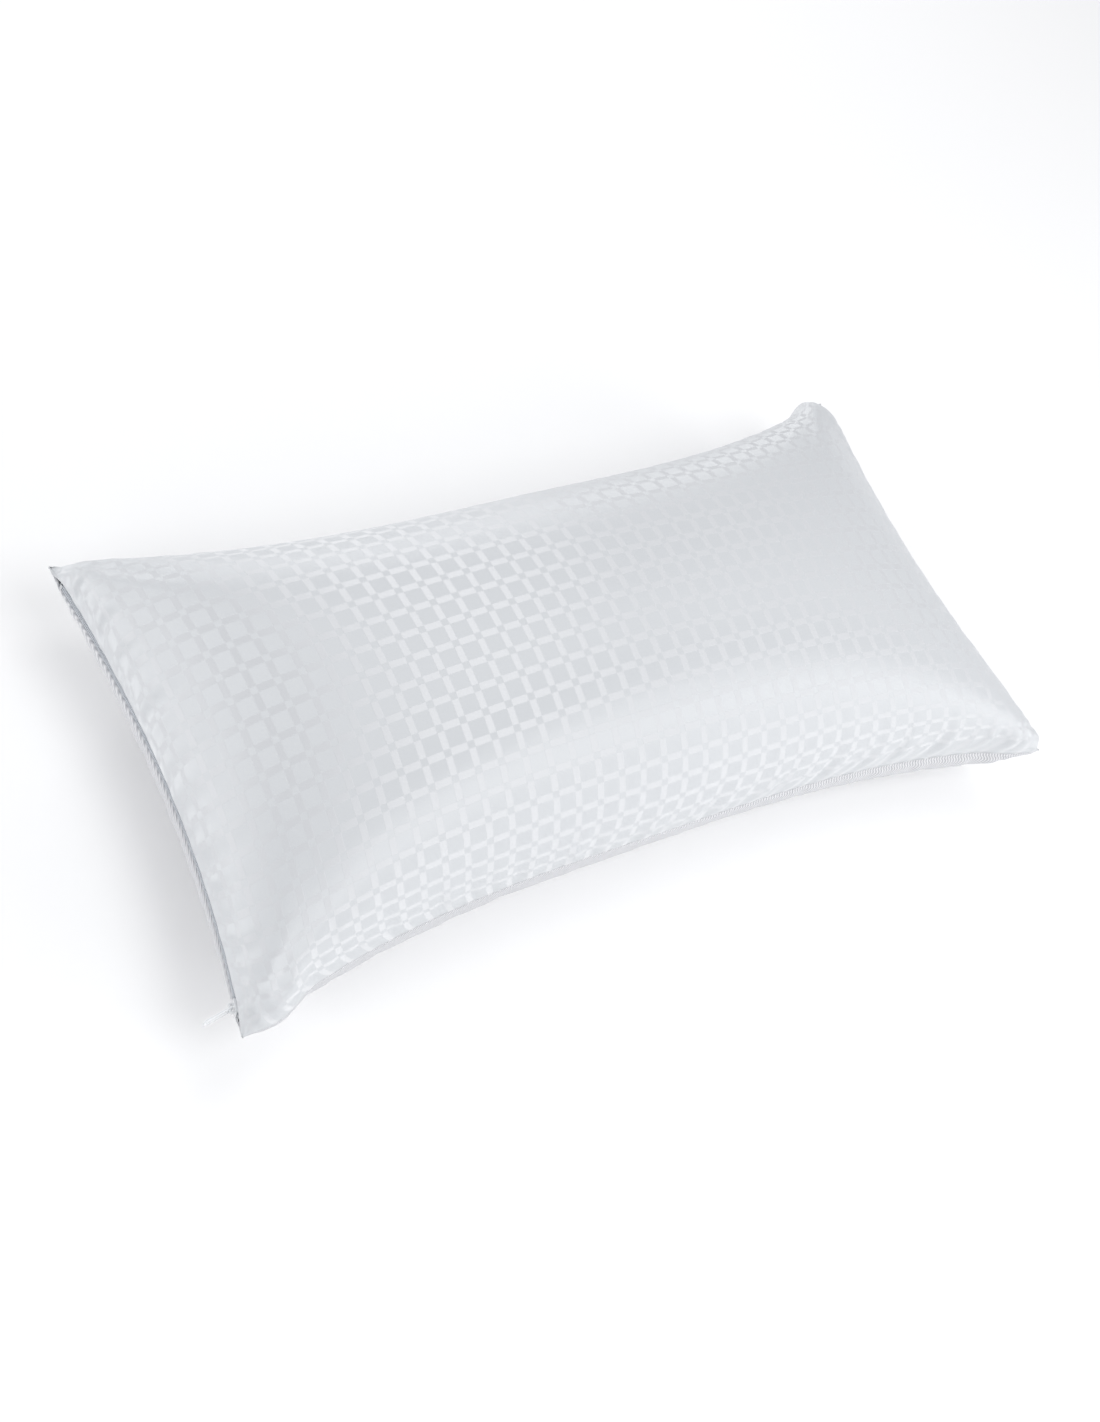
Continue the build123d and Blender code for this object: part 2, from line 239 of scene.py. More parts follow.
def spread_cloth(s, t, upper):
    """u and v for flat places s and t from -1 to 1."""
    u_curved = np.where(upper, along_top(s), along_belly(s))
    v_curved = np.where(upper, across_top(t), across_belly(t))
    u = s + (u_curved - s) * section(t, CROWN_ACROSS) ** SEAM_PULL
    v = t + (v_curved - t) * section(s, CROWN_ALONG) ** SEAM_PULL
    return np.where(np.abs(s) > ON_EDGE, s, u), np.where(np.abs(t) > ON_EDGE, t, v)


# %% [markdown]
# A cover or a case is two rectangles sewn round their edges. Each rectangle is a grid of squares, and the
# two are joined, then merged where they are sewn. Near a seam the first row is narrow, because the cloth
# turns in sharply there. The cover's zip edge is not merged, so the opening stays.

# %% Cut two panels and sew them
EDGE_ROW = 0.0016
COVER_SQUARE, CASE_SQUARE = 0.0055, 0.012


def select_vertices(piece, chosen):
    """Selects those vertices, and no other part of the piece."""
    bpy.context.view_layer.objects.active = piece
    piece.data.polygons.foreach_set("select", [False] * len(piece.data.polygons))
    piece.data.edges.foreach_set("select", [False] * len(piece.data.edges))
    piece.data.vertices.foreach_set("select", chosen.astype(bool).tolist())


def places(piece):
    found = np.zeros(len(piece.data.vertices) * 3)
    piece.data.vertices.foreach_get("co", found)
    return found.reshape(-1, 3)


def put(piece, spots):
    piece.data.vertices.foreach_set("co", np.asarray(spots, dtype=float).ravel())
    piece.data.update()


def narrow_edges(line, length, cells):
    """Grid lines from -1 to 1 with a narrow row at each end."""
    edge = 2 * EDGE_ROW / length
    return np.interp(line, [-1, 2 / cells - 1, 1 - 2 / cells, 1], [-1, edge - 1, 1 - edge, 1])


def cut_panel(name, square, height):
    """A flat panel in s and t; its height only keeps the two panels apart until they are sewn."""
    along, across = round(FLAT_LENGTH / square), round(FLAT_WIDTH / square)
    bpy.ops.mesh.primitive_grid_add(x_subdivisions=along, y_subdivisions=across, size=2)
    panel = bpy.context.object
    panel.name = name
    flat = places(panel)
    flat[:, 0] = narrow_edges(flat[:, 0], FLAT_LENGTH, along)
    flat[:, 1] = narrow_edges(flat[:, 1], FLAT_WIDTH, across)
    flat[:, 2] = height
    put(panel, flat)
    if height < 0:
        bpy.ops.object.mode_set(mode="EDIT")
        bpy.ops.mesh.select_all(action="SELECT")
        bpy.ops.mesh.flip_normals()
        bpy.ops.object.mode_set(mode="OBJECT")
    panel.select_set(False)
    return panel


def sew(name, square, cloths, open_end):
    """Two panels merged along their sewn edges; each panel keeps its own cloth."""
    bpy.ops.object.select_all(action="DESELECT")
    upper, lower = cut_panel(name, square, 1), cut_panel(name + "_lower", square, -1)
    for piece in (upper, lower):
        for cloth in cloths:
            piece.data.materials.append(cloth)
    lower.data.polygons.foreach_set("material_index", [1] * len(lower.data.polygons))
    lower.select_set(True)
    upper.select_set(True)
    bpy.context.view_layer.objects.active = upper
    bpy.ops.object.join()
    flat = places(upper)
    sewn = (np.abs(flat[:, 1]) > ON_EDGE) | (flat[:, 0] > ON_EDGE)
    if not open_end:
        sewn |= flat[:, 0] < -ON_EDGE
    flat[sewn, 2] = 0
    put(upper, flat)
    select_vertices(upper, sewn)
    bpy.ops.object.mode_set(mode="EDIT")
    bpy.ops.mesh.select_mode(type="VERT")
    bpy.ops.mesh.remove_doubles(threshold=1e-5)
    bpy.ops.object.mode_set(mode="OBJECT")
    upper.select_set(False)
    return upper


jacquard = bpy.data.materials.new("damask ticking")
twill = bpy.data.materials.new("twill ticking")
cover = sew("cover", COVER_SQUARE, (jacquard, twill), True)
flat = places(cover)
print("cover", len(flat), "points", len(cover.data.polygons), "faces")

# %% [markdown]
# A weave follows its threads, so the pattern is drawn on the flat cloth. The flat places, in metres, are
# kept as the cloth's own UV map before the cover is shaped.

# %% Keep the flat cloth as a UV map
def keep_flat_map(piece, flat):
    layer = piece.data.uv_layers.active or piece.data.uv_layers.new(name="flat cloth")
    layer.name = "flat cloth"
    corners = np.zeros(len(piece.data.loops), dtype=int)
    piece.data.loops.foreach_get("vertex_index", corners)
    spots = flat[corners][:, :2] * (FLAT_LENGTH / 2, FLAT_WIDTH / 2)
    layer.data.foreach_set("uv", spots.ravel())


keep_flat_map(cover, flat)
print("flat cloth", FLAT_LENGTH, "by", FLAT_WIDTH)

# %% [markdown]
# The cover takes its stuffed shape. Along the sewn edges the seam is drawn in by the thread, which leaves
# a fine groove. At the zip the first row of the cloth is folded in over the tapes, and less at the corners.

# %% Shape the cover
SEAM_TUCK = 0.0011
ZIP_TUCK, ZIP_TUCK_AT_CORNER = 0.0033, 0.0004
TUCK_TAPER = 0.012
s, t, upper = flat[:, 0], flat[:, 1], flat[:, 2] > -0.5
at_zip = s < -ON_EDGE
at_side = np.abs(t) > ON_EDGE
at_end = s > ON_EDGE
first_row = s < -1 + 2 * EDGE_ROW / FLAT_LENGTH + 1e-4


def shape_cover():
    u, v = spread_cloth(s, t, upper)
    u = np.where(first_row, -1, u)
    spots = stuffed(u, v, upper)
    away = smoothstep((1 - np.abs(t)) * WIDTH / 2 / TUCK_TAPER)
    spots[at_zip, 0] += (ZIP_TUCK_AT_CORNER + (ZIP_TUCK - ZIP_TUCK_AT_CORNER) * away)[at_zip]
    spots[at_side, 1] -= np.sign(t[at_side]) * SEAM_TUCK
    spots[at_end, 0] -= SEAM_TUCK
    return spots


shaped = shape_cover()
put(cover, shaped)
print("shaped", shaped.min(axis=0).round(4), shaped.max(axis=0).round(4))

# %% [markdown]
# A perfectly even cloth would not know where to gather. Small ripples square to each seam, a few
# centimetres long and fading inwards, start the puckers that the simulation then works on. They are sums
# of waves with fixed phases, so every run gives the same ones. They are strongest towards the right of the
# front seam and along the zip, and half as high on the under panel, which is pressed flat.

# %% Start the puckers
# Each wave has a length, a phase and a share of the height.
RIPPLE_WAVES = ((0.0210, 0.4, 0.9), (0.0135, 2.1, 0.9), (0.0340, 4.4, 0.8), (0.0093, 1.3, 0.5))
RIPPLE_START, RIPPLE_REACH = 0.005, 0.024
RIPPLE_FRONT, RIPPLE_BACK, RIPPLE_END, RIPPLE_ZIP = 0.0021, 0.0009, 0.0012, 0.0015
BACK_SHIFT, ZIP_SHIFT = 0.3, 0.1
LEFT_SHARE, FULL_FROM = 0.55, 0.6
UNDER_SHARE = 0.5


def ripple(run, from_seam, most):
    """Height of the puckers beside one seam, from the distances along it and away from it."""
    wave = sum(share * np.sin(2 * math.pi * run / length + phase) for length, phase, share in RIPPLE_WAVES)
    fading = smoothstep(from_seam / RIPPLE_START) * np.exp(-from_seam / RIPPLE_REACH)
    return most * wave * fading


def all_ripples(s, t):
    along, across = s * FLAT_LENGTH / 2, t * FLAT_WIDTH / 2
    front, back = FLAT_WIDTH / 2 + across, FLAT_WIDTH / 2 - across
    zipped, end = FLAT_LENGTH / 2 + along, FLAT_LENGTH / 2 - along
    front_share = LEFT_SHARE + (1 - LEFT_SHARE) * smoothstep(s + FULL_FROM)
    return (
        ripple(along, front, RIPPLE_FRONT) * front_share + ripple(along + BACK_SHIFT, back, RIPPLE_BACK)
        + ripple(across, end, RIPPLE_END) + ripple(across + ZIP_SHIFT, zipped, RIPPLE_ZIP)
    )


def outward(piece):
    found = np.zeros(len(piece.data.vertices) * 3)
    piece.data.vertices.foreach_get("normal", found)
    return found.reshape(-1, 3)


held_edge = at_side | at_end | first_row
rise = np.where(held_edge, 0, all_ripples(s, t)) * np.where(upper, 1, UNDER_SHARE)
shaped = shaped + outward(cover) * rise[:, None]
shaped[:, 2] = np.maximum(shaped[:, 2], FLOOR_GAP)
put(cover, shaped)
print("ripples up to", round(float(np.abs(rise).max()) * 1000, 2), "mm")

# %% [markdown]
# A real cover is cut flat, and the filling pushes it out. There is then too much cloth along the seams,
# which gathers in small puckers. Cloth simulation finds them: the rest shape is the flat cut, the air
# pressure stands for the filling, and the seams are held. The rest of the cloth is held loosely to the
# stuffed shape, so it only settles. The result is kept and the simulation removed.

# %% Let the cloth settle
HOLD_SEAM, HOLD_TOP, HOLD_BELLY = 1.0, 0.002, 0.03
STRETCH_STIFFNESS, SHEAR_STIFFNESS, BENDING_STIFFNESS = 25, 8, 0.02
PRESSURE = 4
SETTLE_STEPS = 20
MOST_OUT, MOST_IN = 0.0045, 0.003


def settle(piece, flat):
    """The places that the cloth reaches; the piece itself stays as it was."""
    piece.shape_key_add(name="Basis")
    key = piece.shape_key_add(name="flat cut")
    cut = flat * (FLAT_LENGTH / 2, FLAT_WIDTH / 2, 0.0)
    key.data.foreach_set("co", cut.ravel())
    key.value = 0
    held = piece.vertex_groups.new(name="held")
    for index in range(len(flat)):
        share = HOLD_SEAM if held_edge[index] else HOLD_TOP if upper[index] else HOLD_BELLY
        held.add([index], share, "REPLACE")
    cloth = piece.modifiers.new("cloth", "CLOTH")
    cloth.settings.rest_shape_key = key
    cloth.settings.vertex_group_mass = held.name
    cloth.settings.mass = 0.001
    cloth.settings.quality = 6
    cloth.settings.tension_stiffness = STRETCH_STIFFNESS
    cloth.settings.compression_stiffness = STRETCH_STIFFNESS
    cloth.settings.shear_stiffness = SHEAR_STIFFNESS
    cloth.settings.bending_stiffness = BENDING_STIFFNESS
    cloth.settings.use_pressure = True
    cloth.settings.uniform_pressure_force = PRESSURE
    cloth.settings.effector_weights.gravity = 0
    cloth.collision_settings.use_collision = False
    cloth.point_cache.frame_start, cloth.point_cache.frame_end = 1, SETTLE_STEPS
    for step in range(1, SETTLE_STEPS + 1):
        scene.frame_set(step)
    found = np.zeros(len(flat) * 3)
    ready = piece.evaluated_get(bpy.context.evaluated_depsgraph_get())
    ready.data.vertices.foreach_get("co", found)
    scene.frame_set(1)
    piece.modifiers.remove(cloth)
    piece.shape_key_clear()
    piece.vertex_groups.clear()
    return found.reshape(-1, 3)


def cap_moves(piece, shaped, moved):
    """Holds each point near its stuffed place: this far along the surface's own direction and no more."""
    put(piece, shaped)
    out = outward(piece)
    move = moved - shaped
    proud = (move * out).sum(axis=1)
    held = np.clip(proud, -MOST_IN, MOST_OUT)
    kept = shaped + move + out * (held - proud)[:, None]
    kept[:, 2] = np.maximum(kept[:, 2], FLOOR_GAP)
    return kept, proud


moved = settle(cover, flat)
kept, proud = cap_moves(cover, shaped, moved)
put(cover, kept)
print("settled: out", proud.max().round(4), "in", proud.min().round(4))

# %% [markdown]
# The settled cover is smoothed once, with a subdivision, and then cut along its seams into its two panels.
# Each panel gets the thickness of its cloth on the inside, so that its outer face stays where it settled.

# %% Finish the two panels
CLOTH = 0.0009


def apply_modifier(piece, kind, **settings):
    modifier = piece.modifiers.new(kind.lower(), kind)
    for name, value in settings.items():
        setattr(modifier, name, value)
    bpy.context.view_layer.objects.active = piece
    bpy.ops.object.modifier_apply(modifier=modifier.name)


def part_by_cloth(piece, names):
    """Separates a sewn piece into one object for each cloth, in the order of its materials."""
    bpy.ops.object.select_all(action="DESELECT")
    piece.select_set(True)
    bpy.context.view_layer.objects.active = piece
    bpy.ops.object.mode_set(mode="EDIT")
    bpy.ops.mesh.select_all(action="SELECT")
    bpy.ops.mesh.separate(type="MATERIAL")
    bpy.ops.object.mode_set(mode="OBJECT")
    parts = []
    for found in list(bpy.context.selected_objects):
        cloth = found.data.polygons[0].material_index if len(found.data.materials) > 1 else 0
        kept = found.data.materials[cloth]
        found.data.materials.clear()
        found.data.materials.append(kept)
        found.data.polygons.foreach_set("material_index", [0] * len(found.data.polygons))
        found.name = found.data.name = names[kept.name]
        found.select_set(False)
        parts.append(found)
    return sorted(parts, key=lambda found: list(names.values()).index(found.name))


apply_modifier(cover, "SUBSURF", levels=1, render_levels=1)
cover_top, cover_bottom = part_by_cloth(
    cover, {"damask ticking": "cover_top", "twill ticking": "cover_bottom"}
)
for panel, node, slot in (
    (cover_top, "top_panel", "jacquard_ticking"),
    (cover_bottom, "bottom_panel", "twill_ticking"),
):
    apply_modifier(panel, "SOLIDIFY", thickness=CLOTH, offset=-1)
    panel.data.polygons.foreach_set("use_smooth", [True] * len(panel.data.polygons))
    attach(panel, "pillow")
    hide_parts(node)
    print(panel.name, len(panel.data.polygons), "faces")

# %% [markdown]
# Inside is the pillow itself: a sewn case round a block of fibre. It takes the same shape, a little
# smaller, and is sewn on all four sides. The cover hides it, so its squares are larger.

# %% The pillow inside
CASE_INSET, CASE_DROP = 0.0095, 0.0052
CORE_INSET, CORE_DROP = 0.0115, 0.0075


def inner_body(name, cloth, inset, drop, nodes):
    body = sew(name, CASE_SQUARE, (cloth, cloth), False)
    flat = places(body)
    upper = flat[:, 2] > -0.5
    u, v = spread_cloth(flat[:, 0], flat[:, 1], upper)
    put(body, stuffed(u, v, upper, inset, drop))
    body.data.polygons.foreach_set("material_index", [0] * len(body.data.polygons))
    body.data.materials.pop()
    body.data.polygons.foreach_set("use_smooth", [True] * len(body.data.polygons))
    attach(body, "pillow")
    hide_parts(*nodes)
    print(name, len(body.data.polygons), "faces")
    return body


case_cloth = bpy.data.materials.new("cotton cambric")
fibre = bpy.data.materials.new("polyester fibre")
inner_body(
    "inner_case", case_cloth, CASE_INSET, CASE_DROP,
    ("inner_case_top", "inner_case_bottom"),
)
inner_body("fibre_fill", fibre, CORE_INSET, CORE_DROP, ("fibre_core",))

# %% [markdown]
# A coil zip is a nylon thread wound into turns and sewn to each tape. One turn is modelled: a ring of round
# thread, pulled out to the length of a tooth. It is spun along the zip's arc as copies. The second coil is
# made the same way, facing the first and moved on by half a turn, so that the teeth sit between each other.

# %% Wind the two coils
TURN_PITCH = 0.0014
WIRE = 0.00029
COIL_TALL = 0.0020
COIL_OUT = 0.00027 + COIL_TALL / 2
TOOTH_TIP, TOOTH_BACK = -0.0003, 0.0032
NYLON_SIDES, RING_STEPS = 6, 12
END_ROOM = 0.0006
coil_low, coil_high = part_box("zip_coil_upper")
FIRST_TURN = math.asin((coil_low.y + END_ROOM) / ARC_RADIUS)
LAST_TURN = math.asin((coil_high.y - END_ROOM) / ARC_RADIUS)
turns = round((LAST_TURN - FIRST_TURN) * ARC_RADIUS / TURN_PITCH)
STEP = (LAST_TURN - FIRST_TURN) / turns
nylon = bpy.data.materials.new("nylon")


def wind_coil(name, side, head_start):
    """A ring at the middle of the arc, spun along it; side is 1 for the upper tape."""
    bpy.ops.object.select_all(action="DESELECT")
    radius = COIL_TALL / 2 - WIRE
    start = on_zip(0, COIL_OUT, side * (TOOTH_TIP + COIL_TALL / 2))
    bpy.ops.mesh.primitive_torus_add(
        major_segments=RING_STEPS, minor_segments=NYLON_SIDES, major_radius=radius, minor_radius=WIRE,
        location=start, rotation=(math.pi / 2, 0, 0),
    )
    coil = bpy.context.object
    coil.name = coil.data.name = name
    bpy.ops.object.transform_apply(location=True, rotation=True, scale=True)
    select_vertices(coil, (places(coil)[:, 2] - start.z) * side > 1e-5)
    stretch = TOOTH_BACK - TOOTH_TIP - COIL_TALL
    bpy.ops.object.mode_set(mode="EDIT")
    bpy.ops.transform.translate(value=(0, 0, side * stretch))
    bpy.ops.mesh.select_all(action="SELECT")
    bpy.ops.mesh.spin(
        steps=turns, dupli=True, angle=-turns * STEP, center=ARC_CENTRE, axis=ARC_AXIS,
        use_auto_merge=False,
    )
    bpy.ops.object.mode_set(mode="OBJECT")
    first = Matrix.Rotation(FIRST_TURN + head_start * STEP, 4, ARC_AXIS)
    coil.data.transform(Matrix.Translation(ARC_CENTRE) @ first @ Matrix.Translation(-ARC_CENTRE))
    coil.data.materials.append(nylon)
    coil.data.polygons.foreach_set("use_smooth", [True] * len(coil.data.polygons))
    coil.select_set(False)
    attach(coil, "pillow")
    run = places(coil)[:, 1]
    print(name, turns + 1, "turns", len(coil.data.polygons), "faces", run.min().round(4), run.max().round(4))
    return coil


coil_upper = wind_coil("wound_coil_upper", 1, 0.0)
coil_lower = wind_coil("wound_coil_lower", -1, 0.5)
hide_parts("zip_coil_upper")
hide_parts("zip_coil_lower")

# %% [markdown]
# The slider and its pull are cast in zinc and painted, so no edge of theirs is sharp. The CAD solids have
# the right sizes. A copy of each is cleaned to its real edges, and these are rounded with a bevel.

# %% Round the slider and the pull
SLIDER_ROUND, PULL_ROUND = 0.00028, 0.00025
ROUND_STEPS = 2
FLAT_ANGLE, EDGE_ANGLE, SMOOTH_ANGLE = math.radians(4), math.radians(35), math.radians(40)


def cast_copy(node, name, body, radius):
    bpy.ops.object.select_all(action="DESELECT")
    source = bpy.data.objects[node]
    cast = bpy.data.objects.new(name, source.data.copy())
    cast.data.name = name
    scene.collection.objects.link(cast)
    bpy.context.view_layer.objects.active = cast
    cast.select_set(True)
    bpy.ops.object.mode_set(mode="EDIT")
    bpy.ops.mesh.select_all(action="SELECT")
    bpy.ops.mesh.remove_doubles(threshold=1e-6)
    bpy.ops.mesh.dissolve_limited(angle_limit=FLAT_ANGLE)
    bpy.ops.object.mode_set(mode="OBJECT")
    apply_modifier(
        cast, "BEVEL", width=radius, segments=ROUND_STEPS, limit_method="ANGLE", angle_limit=EDGE_ANGLE,
        use_clamp_overlap=True, harden_normals=False,
    )
    bpy.ops.object.shade_smooth_by_angle(angle=SMOOTH_ANGLE)
    cast.select_set(False)
    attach(cast, body)
    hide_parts(node)
    print(name, len(cast.data.polygons), "faces")
    return cast


slider = cast_copy("slider_body", "slider_cast", "slider", SLIDER_ROUND)
pull = cast_copy("pull_tab", "pull_cast", "pull", PULL_ROUND)

# %% [markdown]
# Every finish is a small tree of nodes. One function adds a node, sets it up and links its inputs, and one
# turns a colour written as in print into the linear numbers that light is worked out in. A wave texture
# repeats every pi / 10 divided by its scale, so one more turns a real spacing into that scale.

# %% Helpers for finishes
def paint(code):
    """A colour such as E6E8EB as linear red, green and blue, with an alpha of 1."""
    parts = [int(code[place:place + 2], 16) / 255 for place in (0, 2, 4)]
    return [part / 12.92 if part <= 0.04045 else ((part + 0.055) / 1.055) ** 2.4 for part in parts] + [1]


def add(tree, kind, inputs=(), **settings):
    """A node with its settings; an input is a number, a colour or another node's output."""
    node = tree.nodes.new(kind)
    for name, value in settings.items():
        setattr(node, name, value)
    for socket, value in dict(inputs).items():
        if isinstance(value, bpy.types.NodeSocket):
            tree.links.new(value, node.inputs[socket])
        else:
            node.inputs[socket].default_value = value
    return node


def open_finish(material, colour, rough, **constants):
    """Empties a material and gives it a Principled shader with these constant values."""
    material.use_nodes = True
    tree = material.node_tree
    tree.nodes.clear()
    shader = add(tree, "ShaderNodeBsdfPrincipled", {"Base Color": paint(colour), "Roughness": rough})
    for socket, value in constants.items():
        shader.inputs[socket.replace("_", " ")].default_value = value
    add(tree, "ShaderNodeOutputMaterial", {"Surface": shader.outputs[0]})
    material.diffuse_color = paint(colour)
    return tree, shader


def wave_scale(spacing):
    return math.pi / 10 / spacing


print("a white such as E6E8EB is", [round(part, 3) for part in paint("E6E8EB")])


# %% [markdown]
# The damask is white cotton and viscose with two satin weaves. In the small squares the shining threads
# run across the pillow, and in the bars between them they run along it. Light glances off a thread
# only from its sides, so the same pattern looks brighter or darker as the cloth turns away. The shader's
# anisotropy does this, and its direction turns by a quarter between bar and square. The pattern repeats
# every 17.3 mm. Real threads are 0.15 mm apart, and are drawn at 0.8 mm so that they can just be seen.

# %% Damask ticking
REPEAT = 0.0173
BAR_SHARE, BAR_BLUR = 0.29, 0.012
QUARTER_TURN = 0.25
THREAD_DRAWN = 0.0008
THREAD_SHARE = 0.25
DAMASK_DEPTH = 0.00012
# The bars are painted a shade lighter than the squares: a painted sheen standing for their brighter satin.
SQUARE_COLOUR, BAR_COLOUR_WITH_SHEEN = "D1D4D7", "D3D5D8"


def near_edge(tree, place):
    """1 in a band round each whole number, half a bar wide on both sides, and 0 elsewhere."""
    part = add(tree, "ShaderNodeMath", {0: place}, operation="FRACT").outputs[0]
    centred = add(tree, "ShaderNodeMath", {0: part, 1: 0.5}, operation="SUBTRACT").outputs[0]
    away = add(tree, "ShaderNodeMath", {0: centred}, operation="ABSOLUTE").outputs[0]
    edge = 0.5 - BAR_SHARE / 2
    return add(
        tree, "ShaderNodeMapRange",
        {"Value": away, "From Min": edge - BAR_BLUR, "From Max": edge + BAR_BLUR},
        interpolation_type="SMOOTHSTEP",
    ).outputs[0]


def scaled(tree, value, factor):
    return add(tree, "ShaderNodeMath", {0: value, 1: factor}, operation="MULTIPLY").outputs[0]


def bar_pattern(tree, flat_map):
    """1 on a bar and 0 on a square, also where two bars would cross."""
    split = add(tree, "ShaderNodeSeparateXYZ", {0: flat_map.outputs[0]})
    band_x = near_edge(tree, scaled(tree, split.outputs["X"], 1 / REPEAT))
    band_y = near_edge(tree, scaled(tree, split.outputs["Y"], 1 / REPEAT))
    both = add(tree, "ShaderNodeMath", {0: band_x, 1: band_y}, operation="MULTIPLY").outputs[0]
    either = add(tree, "ShaderNodeMath", {0: band_x, 1: band_y}, operation="ADD").outputs[0]
    return add(tree, "ShaderNodeMath", {0: both, 1: -2.0, 2: either}, operation="MULTIPLY_ADD").outputs[0]


def thread_ridges(tree, flat_map, direction):
    return add(
        tree, "ShaderNodeTexWave", {"Vector": flat_map.outputs[0], "Scale": wave_scale(THREAD_DRAWN)},
        bands_direction=direction,
    ).outputs[1]


def weave_damask(material):
    tree, shader = open_finish(
        material, BAR_COLOUR_WITH_SHEEN, 0.6, Anisotropic=0.93, IOR=2.1, Specular_IOR_Level=1.0,
    )
    flat_map = add(tree, "ShaderNodeUVMap", uv_map="flat cloth")
    bar = bar_pattern(tree, flat_map)
    # Base colour: squares and bars mixed by the pattern, the bars with their painted sheen.
    colour = add(tree, "ShaderNodeMix", {"Factor": bar}, data_type="RGBA")
    colour.inputs[6].default_value, colour.inputs[7].default_value = paint(SQUARE_COLOUR), paint(BAR_COLOUR_WITH_SHEEN)
    tree.links.new(colour.outputs[2], shader.inputs["Base Color"])
    tree.links.new(scaled(tree, bar, QUARTER_TURN), shader.inputs["Anisotropic Rotation"])
    tangent = add(tree, "ShaderNodeTangent", direction_type="UV_MAP", uv_map="flat cloth")
    tree.links.new(tangent.outputs[0], shader.inputs["Tangent"])
    across, along = thread_ridges(tree, flat_map, "X"), thread_ridges(tree, flat_map, "Y")
    ridges = add(tree, "ShaderNodeMix", {"Factor": bar, "A": across, "B": along}).outputs[0]
    height = add(
        tree, "ShaderNodeMath", {0: ridges, 1: THREAD_SHARE, 2: bar}, operation="MULTIPLY_ADD",
    ).outputs[0]
    bump = add(tree, "ShaderNodeBump", {"Strength": 0.5, "Distance": DAMASK_DEPTH, "Height": height})
    tree.links.new(bump.outputs[0], shader.inputs["Normal"])


weave_damask(jacquard)
print("damask repeat", REPEAT, "m, about", round(FLAT_LENGTH / REPEAT), "by", round(FLAT_WIDTH / REPEAT))

# %% [markdown]
# The under panel is a plain cotton twill: matt and off-white, with ribs that cross the cloth slantwise. Real
# ribs are about a millimetre apart, and are drawn at 2.4 mm so that they can be seen. The grooves between
# the ribs are painted darker: painted shade, not a colour of the cloth.

# %% Twill ticking
RIB_SPACING, RIB_DEPTH = 0.0024, 0.0005
RIB_SLANT = math.radians(-22)
# The second colour is painted shade for the grooves between the ribs.
RIB_COLOUR, RIB_GROOVE_SHADE = "EAEAEC", "BFC0C4"


def weave_ribs(material):
    """Slanting ribs on the flat cloth: the plain colour on the crown of a rib and painted shade between two."""
    tree, shader = open_finish(material, RIB_COLOUR, 0.75, Sheen_Weight=0.1)
    flat_map = add(tree, "ShaderNodeUVMap", uv_map="flat cloth")
    turn = add(tree, "ShaderNodeMapping", {"Vector": flat_map.outputs[0], "Rotation": (0, 0, RIB_SLANT)})
    ribs = add(
        tree, "ShaderNodeTexWave", {"Vector": turn.outputs[0], "Scale": wave_scale(RIB_SPACING)},
        bands_direction="X",
    ).outputs[1]
    # Painted shade: the colour darkens between the ribs, where shade falls in the grooves.
    shade = add(tree, "ShaderNodeMix", {"Factor": ribs}, data_type="RGBA")
    shade.inputs[6].default_value, shade.inputs[7].default_value = paint(RIB_GROOVE_SHADE), paint(RIB_COLOUR)
    tree.links.new(shade.outputs[2], shader.inputs["Base Color"])
    bump = add(tree, "ShaderNodeBump", {"Strength": 0.8, "Distance": RIB_DEPTH, "Height": ribs})
    tree.links.new(bump.outputs[0], shader.inputs["Normal"])


weave_ribs(twill)
print("ribs", RIB_SPACING * 1000, "mm apart")

# %% [markdown]
# The case inside is cotton cambric, a fine plain weave that looks matt and even. The filling is siliconised
# polyester fibre: matt and white, with a soft tangle about 6 mm across.

# %% The case and the filling
open_finish(case_cloth, "F0F0EE", 0.8, Sheen_Weight=0.1)
TANGLE, TANGLE_DEPTH = 0.006, 0.002


def tangle_fibre(material):
    tree, shader = open_finish(material, "F2F3F2", 0.9, Sheen_Weight=0.3)
    where = add(tree, "ShaderNodeTexCoord").outputs["Object"]
    lumps = add(tree, "ShaderNodeTexNoise", {"Vector": where, "Scale": 1 / TANGLE, "Detail": 4.0}).outputs[0]
    bump = add(tree, "ShaderNodeBump", {"Strength": 0.6, "Distance": TANGLE_DEPTH, "Height": lumps})
    tree.links.new(bump.outputs[0], shader.inputs["Normal"])


tangle_fibre(fibre)
print("finished", case_cloth.name, "and", fibre.name)

# %% [markdown]
# The zip's tapes are woven polyester: grey-white and matt, with fine slanting ribs. Object coordinates serve
# here, because a tape is nearly straight. The coil is white nylon, smooth and a little glossy, and the
# threads are spun polyester, soft and with a twist. The stops are clipped metal with a nickel plate.

# %% Zip tape, nylon and thread
TAPE_RIB, TWIST = 0.0009, 0.0006
YARN_DEPTH = 0.0001


def finish_tape(material):
    tree, shader = open_finish(material, "C9CDD2", 0.7)
    where = add(tree, "ShaderNodeTexCoord").outputs["Object"]
    ribs = add(
        tree, "ShaderNodeTexWave",
        {"Vector": where, "Scale": wave_scale(TAPE_RIB), "Distortion": 1.5, "Detail Scale": 1.0},
        bands_direction="DIAGONAL",
    ).outputs[1]
    bump = add(tree, "ShaderNodeBump", {"Strength": 0.5, "Distance": YARN_DEPTH, "Height": ribs})
    tree.links.new(bump.outputs[0], shader.inputs["Normal"])
    return material


def finish_thread(material):
    tree, shader = open_finish(material, "E4E6EA", 0.6, Sheen_Weight=0.2)
    where = add(tree, "ShaderNodeTexCoord").outputs["Object"]
    twist = add(
        tree, "ShaderNodeTexWave", {"Vector": where, "Scale": wave_scale(TWIST)}, bands_direction="DIAGONAL",
    ).outputs[1]
    bump = add(tree, "ShaderNodeBump", {"Strength": 0.7, "Distance": YARN_DEPTH, "Height": twist})
    tree.links.new(bump.outputs[0], shader.inputs["Normal"])
    return material


